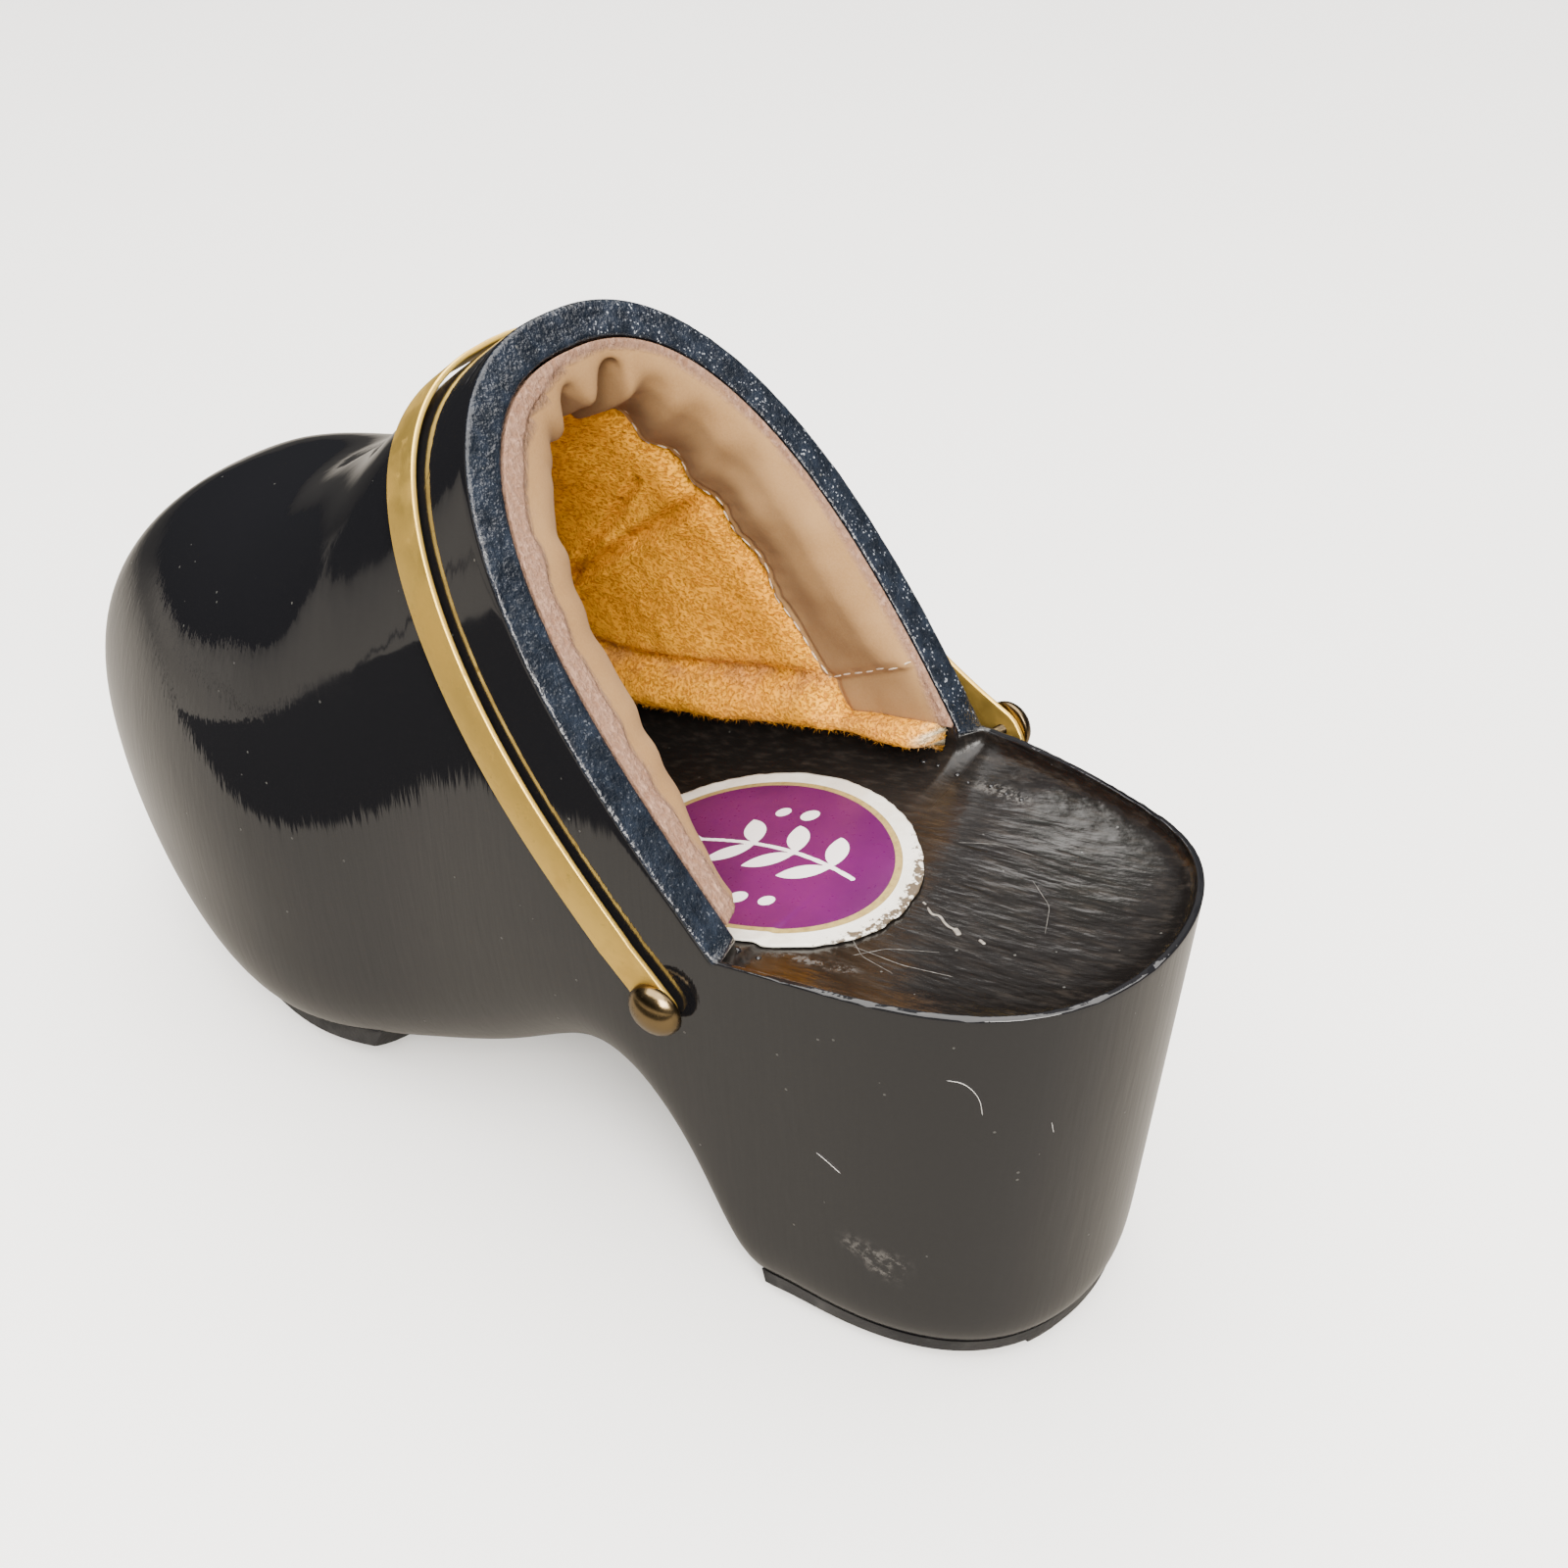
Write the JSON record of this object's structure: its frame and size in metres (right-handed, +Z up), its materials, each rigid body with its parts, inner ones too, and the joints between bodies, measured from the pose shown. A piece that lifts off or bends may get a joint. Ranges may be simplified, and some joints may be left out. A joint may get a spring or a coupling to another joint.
{
  "type": "platform_clog",
  "caption": "Black lacquered platform clog for the left foot, with a padded cuff, fleece toe lining and brass instep band",
  "frame": {"origin": "middle of the overall box on the floor", "axes": "+X from heel to toe, +Y to the wearer's left, +Z up"},
  "size_m": [0.25, 0.1008, 0.1592],
  "materials": {
    "black_lacquer": "gloss lacquer",
    "black_rubber": "matte",
    "taupe_suede": "napped",
    "mustard_fleece": "pilled",
    "tarnished_brass": "tarnished",
    "antique_brass": "antique",
    "printed_label": "gloss print"
  },
  "bodies": {
    "root": {"clog_shell": "black_lacquer", "outsole_heel": "black_rubber", "outsole_forefoot": "black_rubber", "collar_cuff": "taupe_suede", "fleece_lining": "mustard_fleece", "brass_band": "tarnished_brass", "stud_left": "antique_brass", "stud_right": "antique_brass", "heel_label": "printed_label"}
  },
  "joints": []
}
